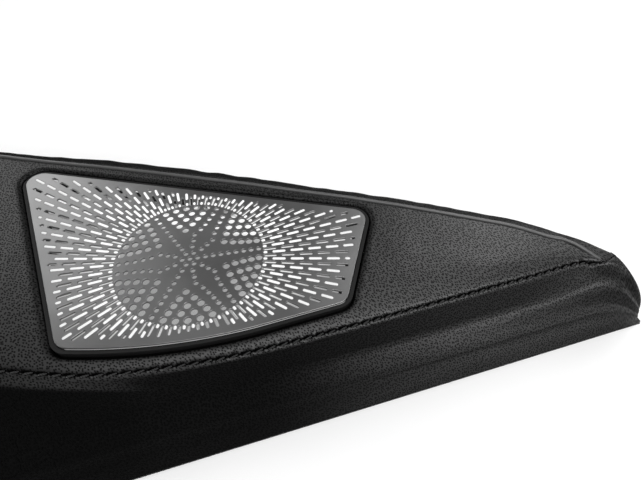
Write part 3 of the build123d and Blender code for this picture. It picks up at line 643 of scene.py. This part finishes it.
def column_places():
    """Columns along x as (x, inset, share of the way down an end wall), from the left wall to the nose's."""
    columns = [(X_LEFT, END_ROUND, down) for down in (1.0, 0.8, 0.6, 0.4, 0.2, 0.0)]
    for angle in (68, 45, 22):
        a = math.radians(angle)
        columns.append((X_INNER - END_ROUND * math.sin(a), END_ROUND * (1 - math.cos(a)), 0.0))
    count = int((X_TIP - 4 - X_INNER) / COLUMN_PITCH)
    columns += [(X_INNER + i * COLUMN_PITCH, 0.0, 0.0) for i in range(count)]
    start = columns[-1][0]
    for angle in (15, 30, 45, 60, 75, 90):
        a = math.radians(angle)
        columns.append((start + (X_TIP - start) * math.sin(a), END_ROUND * (1 - math.cos(a)), 0.0))
    return columns + [(X_TIP, END_ROUND, down) for down in (0.25, 0.5, 0.75, 1.0)]


def section_normals(points):
    """Unit normals, pointing out of the pod, of a section's points in order from back to front."""
    run = np.gradient(points, axis=0)
    length = np.hypot(run[:, 0], run[:, 1]) + 1e-9
    return np.stack([run[:, 1], -run[:, 0]], 1) / length[:, None]


def grid_mesh(points):
    """A bmesh from a square array of (x, y, z, painted shade of the folds, run along the section), by shaping
    a grid.
    """
    rows, columns = points.shape[:2]
    bm = bmesh.new()
    # the layer called depth holds the folds' painted shade
    depth, run = bm.verts.layers.float.new("painted_fold_shade"), bm.verts.layers.float.new("section_run")
    bmesh.ops.create_grid(bm, x_segments=columns - 1, y_segments=rows - 1, size=1)
    for vert, place in zip(bm.verts, points.reshape(-1, points.shape[2])):
        vert.co = place[:3]
        if len(place) > 3:
            vert[depth], vert[run] = place[3:]
    return bm


def finish_sheet(bm, name, thick, finish, up=(0, 0, 1)):
    """Merge, face outwards, place in the frame, give the sheet its thickness and its finish."""
    bmesh.ops.remove_doubles(bm, verts=bm.verts, dist=0.012)
    bmesh.ops.dissolve_degenerate(bm, edges=bm.edges, dist=0.004)
    bmesh.ops.recalc_face_normals(bm, faces=bm.faces)
    lean = sum((f.normal * f.calc_area() for f in bm.faces), Vector())
    if lean.dot(Vector(up)) < 0:
        bmesh.ops.reverse_faces(bm, faces=bm.faces)
    piece = to_object(bm, name, finish)
    wall = piece.modifiers.new("thickness", "SOLIDIFY")
    wall.thickness, wall.offset = thick * MM, -1
    return piece


def to_object(bm, name, finish, flat=False):
    """Put a bmesh made in the pod's own measures into the frame as a piece on the pod."""
    shift = Matrix.Scale(MM, 4) @ Matrix.Translation((-ORIGIN[0], -ORIGIN[1], 0))
    bmesh.ops.transform(bm, matrix=shift, verts=bm.verts)
    mesh = bpy.data.meshes.new(name)
    bm.to_mesh(mesh)
    bm.free()
    if not flat:
        mesh.polygons.foreach_set("use_smooth", [True] * len(mesh.polygons))
    piece = bpy.data.objects.new(name, mesh)
    bpy.context.scene.collection.objects.link(piece)
    mesh.materials.append(finish)
    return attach(piece, "pod")


def squeezed(y, z, curve, inset):
    """Points of a section drawn in by about the inset, towards the middle of its foot."""
    middle = 0.5 * (curve[0, 0] + curve[-1, 0])
    keep = max(0.0, 1 - inset / (0.5 * abs(curve[0, 0] - curve[-1, 0])))
    return middle + (y - middle) * keep, z * (1 - inset / max(8.0, curve[:, 1].max()))


def panel_grid(share_from, share_to, rows, folds, x_end=X_TIP):
    """Points of one sewn panel: from one crossing of the section to another, as far as x_end."""
    result = []
    for x, inset, wall in column_places():
        if x > x_end:
            continue
        curve, length = FORM.at(x)
        a, b = share_from(x) * length, share_to(x) * length
        gap_a, gap_b = SEAM_GAP * bool(folds[0]), SEAM_GAP * bool(folds[1])
        span = max(0.0, (b - gap_b) - (a + gap_a))
        squeeze = max(min(1.0, span / 5.0), 0.05)
        near = row_distances(span, rows, *folds)
        at = np.array([a + gap_a + d for d in near]) / length
        parts = np.hstack([curve, section_normals(curve)]).T
        y, z, ny, nz = (np.interp(at, SCALE, part) for part in parts)
        radii = {"seam": seam_fold(x), "piping": PIPING_FOLD}
        # offset moves the points; depth holds the painted shade of the folds, full in the seam and 0.3 beside
        # the piping
        offset, depth = np.zeros(len(at)), np.zeros(len(at))
        for i, d in enumerate(near):
            drop, dark = 0.0, 0.0
            for kind, away in ((folds[0], d), (folds[1], span - d)):
                if kind:
                    fold = fold_down(away / squeeze, radii[kind], 0.6) * sewn(x) * min(1.0, span / 2.0)
                    drop, dark = drop + fold, dark + fold * (1.0 if kind == "seam" else 0.3)
            fade = smooth(0, 6, z[i] - LIP) * smooth(X_TIP - 2, X_TIP - 12, x)
            offset[i], depth[i] = wrinkle(x, y[i], z[i]) * fade - drop, min(1.0, dark)
        y, z = squeezed(y + ny * offset, z + nz * offset, curve, inset)
        z = np.maximum(z, LIP)
        z += (LIP - z) * wall
        result.append(np.column_stack([np.full(len(at), x), y, z, depth, at * length]))
    return np.array(result).transpose(1, 0, 2)


def make_fall(finish):
    """The front panel of the cover, from the seam down to the rim and round the nose."""
    points = panel_grid(seam_share, lambda x: 1.0, 84, ("seam", None))
    piece = finish_sheet(grid_mesh(points), "cover_lower", LEATHER, finish, up=(0, -1, 1))
    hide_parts("leather_lower")
    return piece


def make_border(finish):
    """The narrow panel behind the piping, down the back wall to the rim."""
    points = panel_grid(lambda x: 0.0, piping_share, 46, (None, "piping"), 152.5)
    piece = finish_sheet(grid_mesh(points), "cover_border", LEATHER, finish, up=(0, 1, 1))
    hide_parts("leather_border")
    return piece


# ---- the field with its opening -----------------------------------------------------------
def rim_chains(counts):
    """(point, normal) round the grille in four chains, left, top, right and bottom; the outline
    grown by d passes through point + normal * (CORNER_R + d)."""
    corners = list(PLATE_CORNERS) + bow_points()
    lines = []
    for a, b in zip(corners, corners[1:] + corners[:1]):
        run = Vector(b) - Vector(a)
        normal = Vector((-run.y, run.x)).normalized()
        lines.append((Vector(a) - normal * CORNER_R, run.normalized(), normal))
    points = []
    for i, (at, run, normal) in enumerate(lines):
        before = lines[i - 1]
        cross = before[1].x * run.y - before[1].y * run.x
        gap = at - before[0]
        t = (gap.x * run.y - gap.y * run.x) / cross
        corner = before[0] + before[1] * t
        main = i < 4
        steps = 12 if main else 1
        for k in range(steps + 1):
            mixed = before[2].slerp(normal, k / steps)
            points.append((corner, mixed.normalized(), i if main and k == steps // 2 else None))
    starts = [k for k, p in enumerate(points) if p[2] is not None]
    order = [p[2] for p in points if p[2] is not None]
    chains = []
    for number, count in enumerate(counts):
        k0 = starts[order.index(number)]
        k1 = starts[order.index((number + 1) % 4)]
        if k1 <= k0:
            k1 += len(points)
        chain = [points[k % len(points)] for k in range(k0, k1 + 1)]
        base = np.array([(p.x, p.y, n.x, n.y) for p, n, _ in chain])
        on = base[:, :2] + base[:, 2:] * (CORNER_R + HOLE_OFFSET)
        steps = np.concatenate([[0], np.cumsum(np.hypot(*np.diff(on, axis=0).T))])
        at = np.linspace(0, steps[-1], count + 1)
        even = np.stack([np.interp(at, steps, base[:, j]) for j in range(4)], 1)
        even[:, 2:] /= np.hypot(even[:, 2], even[:, 3])[:, None]
        chains.append(even)
    return chains


def bow_points():
    """Points of the plate's bowed lower edge: an arc from the bow's right end to the lower left corner."""
    a, m, b = Vector(PLATE_CORNERS[0]), Vector(BOW[1]), Vector(BOW[0])
    twice = 2 * (a.x * (m.y - b.y) + m.x * (b.y - a.y) + b.x * (a.y - m.y))
    aa, mm, bb = a.length_squared, m.length_squared, b.length_squared
    centre = Vector((aa * (m.y - b.y) + mm * (b.y - a.y) + bb * (a.y - m.y),
                     aa * (b.x - m.x) + mm * (a.x - b.x) + bb * (m.x - a.x))) / twice
    start, end = b - centre, a - centre
    turn, radius = start.angle_signed(end), start.length
    first = math.atan2(start.y, start.x)
    angles = [first - turn * k / 8 for k in range(8)]
    return [(centre.x + radius * math.cos(a), centre.y + radius * math.sin(a)) for a in angles]


def outline(grow, counts=(40, 60, 40, 80)):
    """Points round the plate's outline grown by a distance, as one closed list of (x, y)."""
    points = []
    for chain in rim_chains(counts):
        for px, py, nx, ny in chain[:-1]:
            points.append((px + nx * (CORNER_R + grow), py + ny * (CORNER_R + grow)))
    return points


X_JOIN, X_POINT = 75.0, 141.2
RIM_COUNTS = (80, 230, 64, 256)
ROLL_R, ROLL_WALL = 1.7, 2.2


def field_lift(x, y):
    """The field's height away from its folds."""
    return FORM.height(x, y) + wrinkle(x, y, 33)


def field_drop(x, y):
    """How far the field has folded down into the seam and beside the piping, and the section's run here."""
    _, length = FORM.at(x)
    at = FORM.share_at(x, y) * length
    to_seam = seam_share(x) * length - SEAM_GAP - at
    to_piping = at - piping_share(x) * length - SEAM_GAP
    squeeze = min(1.0, max(0.05, (to_seam + to_piping) / 5.0))
    fade = min(1.0, (to_seam + to_piping) / 2.0) * sewn(x)
    return (fade * fold_down(max(0, to_seam) / squeeze, seam_fold(x), 0),
            fade * fold_down(max(0, to_piping) / squeeze, PIPING_FOLD, 0), at)


def field_point(x, y, d=99.0):
    """A point of the field at (x, y), rolled down at a distance d from the opening's edge."""
    seam, piping, run = field_drop(x, y)
    z = field_lift(x, y) - seam - piping - fold_down(d, ROLL_R, 0)
    # the fourth value is painted shade: in the seam, beside the piping and within 4.5 mm of the opening's
    # edge
    return (x, y, z, min(1.0, seam + 0.3 * piping + 0.34 * smooth(4.5, 1.0, d)), run)


def edge_walk(count, edge):
    """Even points along one side of the field's outer boundary, in the rim's order."""
    places = []
    for t in [i / count for i in range(count + 1)]:
        x = {"left": X_INNER, "top": X_INNER + t * (X_JOIN - X_INNER),
             "right": X_JOIN, "bottom": X_JOIN + t * (X_INNER - X_JOIN)}[edge]
        seam, piping = seam_share(x), piping_share(x)
        share = {"left": seam + t * (piping - seam), "top": piping,
                 "right": piping + t * (seam - piping), "bottom": seam}[edge]
        places.append((x, FORM.point(x, share)[0]))
    return places


FOLD_STEPS = (0.0, 0.1, 0.28, 0.5, 0.8, 1.15, 1.6, 2.2)
TUCK = 0.7


def tucked(point):
    """A point of the field's edge, pushed down into its seam."""
    return (*point[:2], point[2] - TUCK, *point[3:])


def field_ring():
    """The field round the grille: from the edge rolled down into the opening out to the seams."""
    rim, outer = [], []
    for chain, count, edge in zip(rim_chains(RIM_COUNTS), RIM_COUNTS, ("left", "top", "right", "bottom")):
        rim += list(chain[:-1])
        outer += edge_walk(count, edge)[:-1]
    rim.append(rim[0])
    outer.append(outer[0])

    def round_rim(grow):
        return [(px + nx * (CORNER_R + grow), py + ny * (CORNER_R + grow)) for px, py, nx, ny in rim]

    edge = round_rim(HOLE_OFFSET)
    rows = [[(x, y, field_lift(x, y) - ROLL_R - ROLL_WALL, 0.0, field_drop(x, y)[2]) for x, y in edge]]
    for angle in (90, 72, 54, 38, 24, 12, 0):
        d = ROLL_R * (1 - math.sin(math.radians(angle)))
        rows.append([field_point(x, y, d) for x, y in round_rim(HOLE_OFFSET + d)])
    between = []
    for (sx, sy), (ox, oy) in zip(round_rim(HOLE_OFFSET + ROLL_R), outer):
        far = math.hypot(ox - sx, oy - sy)
        fold = [1 - d / far for d in reversed(FOLD_STEPS)]
        steps = list(np.linspace(0, fold[0] ** 0.7, 22)[1:-1] ** (1 / 0.7)) + fold
        between.append([(sx + (ox - sx) * t, sy + (oy - sy) * t, ROLL_R + far * t) for t in steps])
    for row in zip(*between):
        rows.append([field_point(*place) for place in row])
    left, top, right, _ = RIM_COUNTS
    sewn_down = [left <= i <= left + top or i >= left + top + right or i == 0 for i in range(len(rim))]
    rows.append([tucked(point) if down else point for point, down in zip(rows[-1], sewn_down)])
    return grid_mesh(np.array(rows))


def field_tip():
    """The field beyond the ring, narrowing to the point where the piping meets the seam."""
    count = RIM_COUNTS[2]
    plain = np.linspace(0, 1, count + 1)
    columns = []
    for x in [*np.arange(X_JOIN, X_POINT, COLUMN_PITCH), X_POINT]:
        a, b = piping_share(x), seam_share(x)
        span = max(0.02, (b - a) * FORM.at(x)[1])
        folded = [min(0.45, d / span) for d in FOLD_STEPS]
        middle = np.linspace(folded[-1], 1 - folded[-1], count - 13)[1:-1]
        steps = np.concatenate([folded, middle, [1 - f for f in reversed(folded)]])
        blend = smooth(0, 12, x - X_JOIN)
        steps = blend * steps + (1 - blend) * plain
        column = [field_point(x, FORM.point(x, a + (b - a) * t)[0]) for t in steps]
        columns.append([tucked(column[0])] + column + [tucked(column[-1])])
    return grid_mesh(np.array(columns).transpose(1, 0, 2))


def field_end():
    """The rounded wall that closes the field at the left end."""
    wall = []
    edge = [field_point(x, y) for x, y in edge_walk(RIM_COUNTS[0], "left")]
    for x, inset, down in column_places():
        if x <= X_INNER:
            curve, _ = FORM.at(x)
            drawn = [(squeezed(y, z, curve, inset), rest) for _, y, z, *rest in edge]
            wall.append([(x, y, z + (LIP - z) * down, *rest) for (y, z), rest in drawn])
    return grid_mesh(np.array(wall))


def make_field(finish):
    """The panel round the grille: its edge rolls down into the opening and folds under at the seams."""
    bm = join_parts([field_ring(), field_tip(), field_end()])
    piece = finish_sheet(bm, "cover_upper", LEATHER, finish)
    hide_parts("leather_upper")
    return piece


def join_parts(parts):
    """Several bmeshes as one."""
    whole = bmesh.new()
    for part in parts:
        mesh = bpy.data.meshes.new("part")
        part.to_mesh(mesh)
        part.free()
        whole.from_mesh(mesh)
        bpy.data.meshes.remove(mesh)
    return whole


# ---- seams ----------------------------------------------------------------------------------
def add_line(curve, places):
    """A line of straight steps on a curve."""
    line = curve.splines.new("POLY")
    line.points.add(len(places) - 1)
    for point, place in zip(line.points, places):
        point.co = (*place, 1)
    return line


def curve_bmesh(curve):
    """The mesh of a curve, as a bmesh with its faces outwards; the curve is used up."""
    holder = bpy.data.objects.new(curve.name, curve)
    bpy.context.scene.collection.objects.link(holder)
    bpy.context.view_layer.update()
    mesh = bpy.data.meshes.new_from_object(holder)
    bm = bmesh.new()
    bm.from_mesh(mesh)
    bpy.data.objects.remove(holder)
    bpy.data.curves.remove(curve)
    bpy.data.meshes.remove(mesh)
    bmesh.ops.remove_doubles(bm, verts=bm.verts, dist=0.0005)
    bmesh.ops.recalc_face_normals(bm, faces=bm.faces)
    return bm


def make_piping(finish):
    """The cord between field and border, bent down to the seam near the nose."""
    path = []
    start, end = X_LEFT + 1, 141.4
    for x in np.arange(start, end, 1.2):
        y, z = FORM.point(x, piping_share(x))
        sink = smooth(137, end, x) * 0.9 + smooth(start + 2, start, x) * 1.2
        path.append((x, y, z + 0.1 - sink + wrinkle(x, y, z)))
    curve = bpy.data.curves.new("cord", "CURVE")
    curve.dimensions, curve.bevel_depth, curve.bevel_resolution = "3D", PIPING_R, 3
    curve.use_fill_caps = True
    add_line(curve, path)
    piece = to_object(curve_bmesh(curve), "piping", finish)
    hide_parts("piping_cord")


def seam_point(x):
    """The seam's place at x, as (x, y, z)."""
    return Vector((x, *FORM.point(x, seam_share(x))))


def make_stitches(finish):
    """One short thread for each stitch, lying aslant in the seam."""
    whole = bmesh.new()
    x = SEAM_START
    while x < SEAM_TAIL[-3][0]:
        mid = x + STITCH_MID
        before, after = seam_point(mid - STITCH_HALF), seam_point(mid + STITCH_HALF)
        slant = Matrix.Rotation(math.radians(STITCH_SLANT), 3, "Z") @ (after - before).normalized()
        place = (before + after) / 2 - Vector((0, 0, 0.5))
        made = bmesh.ops.create_uvsphere(whole, u_segments=8, v_segments=6, radius=THREAD_R)
        turn = slant.to_track_quat("Z", "Y").to_matrix().to_4x4()
        for vert in made["verts"]:
            vert.co.z += math.copysign(THREAD_STRETCH, vert.co.z) if abs(vert.co.z) > 0.01 else 0
        bmesh.ops.transform(whole, matrix=Matrix.Translation(place) @ turn, verts=made["verts"])
        x += STITCH_PITCH
    piece = to_object(whole, "seam_threads", finish)
    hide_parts("seam_stitches")


# ---- grille ------------------------------------------------------------------------------------
def dot_centres():
    """(x, y, radius) of every round hole: triangles of large dots between three forked spokes."""
    dots = [(0.0, 0.0, SMALL_DOT)]
    for ring in range(1, DOT_RINGS):
        per_sector = {1: 2}.get(ring, max(3, 2 * ring - 5))
        count = 3 * per_sector
        for i in range(count):
            near = min(i % per_sector, per_sector - i % per_sector)
            between = ring > 4 and 0 < near < ring - 3
            a = math.radians(TURN + 360 * i / count)
            dots.append((ring * DOT_PITCH * math.cos(a), ring * DOT_PITCH * math.sin(a),
                         LARGE_DOT if between else SMALL_DOT))
    return dots


def reach(angle, inset):
    """Distance from the axis along an angle to the plate's edge, less the inset."""
    c, s = math.cos(angle), math.sin(angle)
    corners = [PLATE_CORNERS[0], BOW[1], BOW[0], PLATE_CORNERS[3], PLATE_CORNERS[2], *TOP_LEFT_CUT]
    nearest = 400.0
    for (ax, ay), (bx, by) in zip(corners, corners[1:] + corners[:1]):
        length = math.hypot(bx - ax, by - ay)
        nx, ny = (by - ay) / length, -(bx - ax) / length
        towards = nx * c + ny * s
        if towards > 0:
            nearest = min(nearest, (nx * ax + ny * ay - inset) / towards)
    return nearest


def slot_runs(ray):
    """(angle, start, end) of each slot on one ray; odd and even rays are staggered."""
    angle = math.radians(TURN + RAY_PHASE + 360 * ray / RAYS)
    limit = reach(angle, SLOT_MARGIN)
    start = SLOT_START + (SLOT_PERIOD / 2 if ray % 2 == 0 else 0) - SLOT_PERIOD
    runs = []
    while start < limit:
        low, high = max(start, SLOT_START), min(start + SLOT_LONG, limit)
        if high - low > SLOT_SHORT:
            runs.append((angle, low, high))
        start += SLOT_PERIOD
    return runs


def round_hole(x, y, r):
    """Outline of a round hole."""
    turns = [math.radians(a) for a in range(0, 360, 20)]
    return [(x + r * math.cos(a), y + r * math.sin(a)) for a in turns]


def pill(angle, low, high, half):
    """Outline of a slot with round ends."""
    points = []
    for centre, first in ((high - half, -90), (low + half, 90)):
        for k in range(7):
            a = math.radians(first + 30 * k)
            points.append((centre + half * math.cos(a), half * math.sin(a)))
    c, s = math.cos(angle), math.sin(angle)
    return [(x * c - y * s, x * s + y * c) for x, y in points]


def flat_plate(name, loops, z, thick, bevel, resolution):
    """A plate with holes and rounded edges, its middle at z, as a bmesh made from a filled flat curve."""
    curve = bpy.data.curves.new(name, "CURVE")
    curve.dimensions, curve.fill_mode = "2D", "BOTH"
    curve.extrude, curve.bevel_depth, curve.bevel_resolution = thick / 2 - bevel, bevel, resolution
    for loop in loops:
        add_line(curve, [(x, y, 0) for x, y in loop]).use_cyclic_u = True
    bm = curve_bmesh(curve)
    bmesh.ops.translate(bm, verts=bm.verts, vec=(0, 0, z))
    return bm


def make_grille(finish):
    """The perforated plate with softened edges."""
    bevel = 0.14
    loops = [outline(-bevel)]
    loops += [round_hole(x, y, r + bevel) for x, y, r in dot_centres()]
    for ray in range(RAYS):
        loops += [pill(a, low - bevel, high + bevel, SLOT_W / 2 + bevel) for a, low, high in slot_runs(ray)]
    bm = flat_plate("plate", loops, PLATE_TOP - PLATE_THICK / 2, PLATE_THICK, bevel, 1)
    piece = to_object(bm, "grille", finish, flat=True)
    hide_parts("grille_plate")


def make_ribs(finish):
    """The guide's ribs that stand in every second row of slots, their tops rounded."""
    crown, gap, tall, proud = 0.28, 0.05, 1.5, 0.12
    loops = []
    for ray in range(0, RAYS, 2):
        for a, low, high in slot_runs(ray):
            loops.append(pill(a, low + gap + crown, high - gap - crown, SLOT_W / 2 - gap - crown))
    bm = flat_plate("ribs", loops, PLATE_TOP + proud - tall / 2, tall, crown, 2)
    piece = to_object(bm, "guide_ribs", finish)


def make_scrim(finish):
    """The cloth on the tray's floor."""
    bm = flat_plate("scrim", [outline(-SCRIM_INSET)], SCRIM_Z, 0.4, 0.1, 1)
    piece = to_object(bm, "floor_scrim", finish, flat=True)
    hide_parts("acoustic_scrim")


def make_foam(finish):
    """The foam under the cover, one closed pad with the grille's opening in it."""
    take = np.linspace(4, SAMPLES - 5, 110).astype(int)
    end = 149.0
    rows = []
    for x in np.arange(X_LEFT + 1.6, end, 2.0):
        curve, _ = FORM.at(x)
        under = LEATHER + 0.25 + 0.6 * smooth(end - 14, end, x)
        inner = curve - section_normals(curve) * under
        rows.append([(x, y, max(LIP + 1.0, z)) for y, z in inner[take]])
    bm = grid_mesh(np.array(rows))
    hole, around = outline(HOLE_OFFSET + 0.2, (60, 90, 50, 100)), outline(HOLE_OFFSET + 3.5)
    gone = [v for v in bm.verts if v.co.z > 25 and inside(v.co, hole)]
    bmesh.ops.delete(bm, geom=gone, context="VERTS")
    ring = np.array(hole)
    for vert in bm.verts:
        if vert.is_boundary and vert.co.z > 25 and -70 < vert.co.x < 76 and inside(vert.co, around):
            away = (ring[:, 0] - vert.co.x) ** 2 + (ring[:, 1] - vert.co.y) ** 2
            vert.co.x, vert.co.y = ring[np.argmin(away)]
            vert.co.z -= 0.6
    piece = finish_sheet(bm, "cover_padding", FOAM, finish)
    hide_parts("foam_pad")
    return piece


def inside(point, loop):
    """Whether a point lies inside a convex loop of (x, y), in plan."""
    side = 0
    for (ax, ay), (bx, by) in zip(loop, loop[1:] + loop[:1]):
        turn = (bx - ax) * (point.y - ay) - (by - ay) * (point.x - ax)
        if turn * side < 0:
            return False
        side = turn or side
    return True


def make_floor(finish):
    """The plain pale floor the pod lies on."""
    bm = bmesh.new()
    bmesh.ops.create_grid(bm, x_segments=2, y_segments=2, size=2.5)
    mesh = bpy.data.meshes.new("floor")
    bm.to_mesh(mesh)
    bm.free()
    floor = bpy.data.objects.new("floor", mesh)
    bpy.context.scene.collection.objects.link(floor)
    mesh.materials.append(finish)


def main():
    """Camera and lamps, the floor, a finish on every node, then the new pieces and their sheets."""
    make_camera()
    make_studio()
    finishes = all_finishes()
    make_floor(floor_finish())
    for part in frame["record"]["subparts"]:
        node = frame["nodes"][part["node"]]
        node.data.materials.clear()
        node.data.materials.append(finishes[part["material_slot"]])
    leather = finishes["cover_leather"]
    upper, lower, border = make_field(leather), make_fall(leather), make_border(leather)
    foam = make_foam(finishes["cover_foam"])
    make_piping(finishes["piping_leather"])
    make_stitches(finishes["seam_thread"])
    make_grille(finishes["grille_steel"])
    make_ribs(finishes["opal_acrylic"])
    make_scrim(finishes["scrim_cloth"])


main()
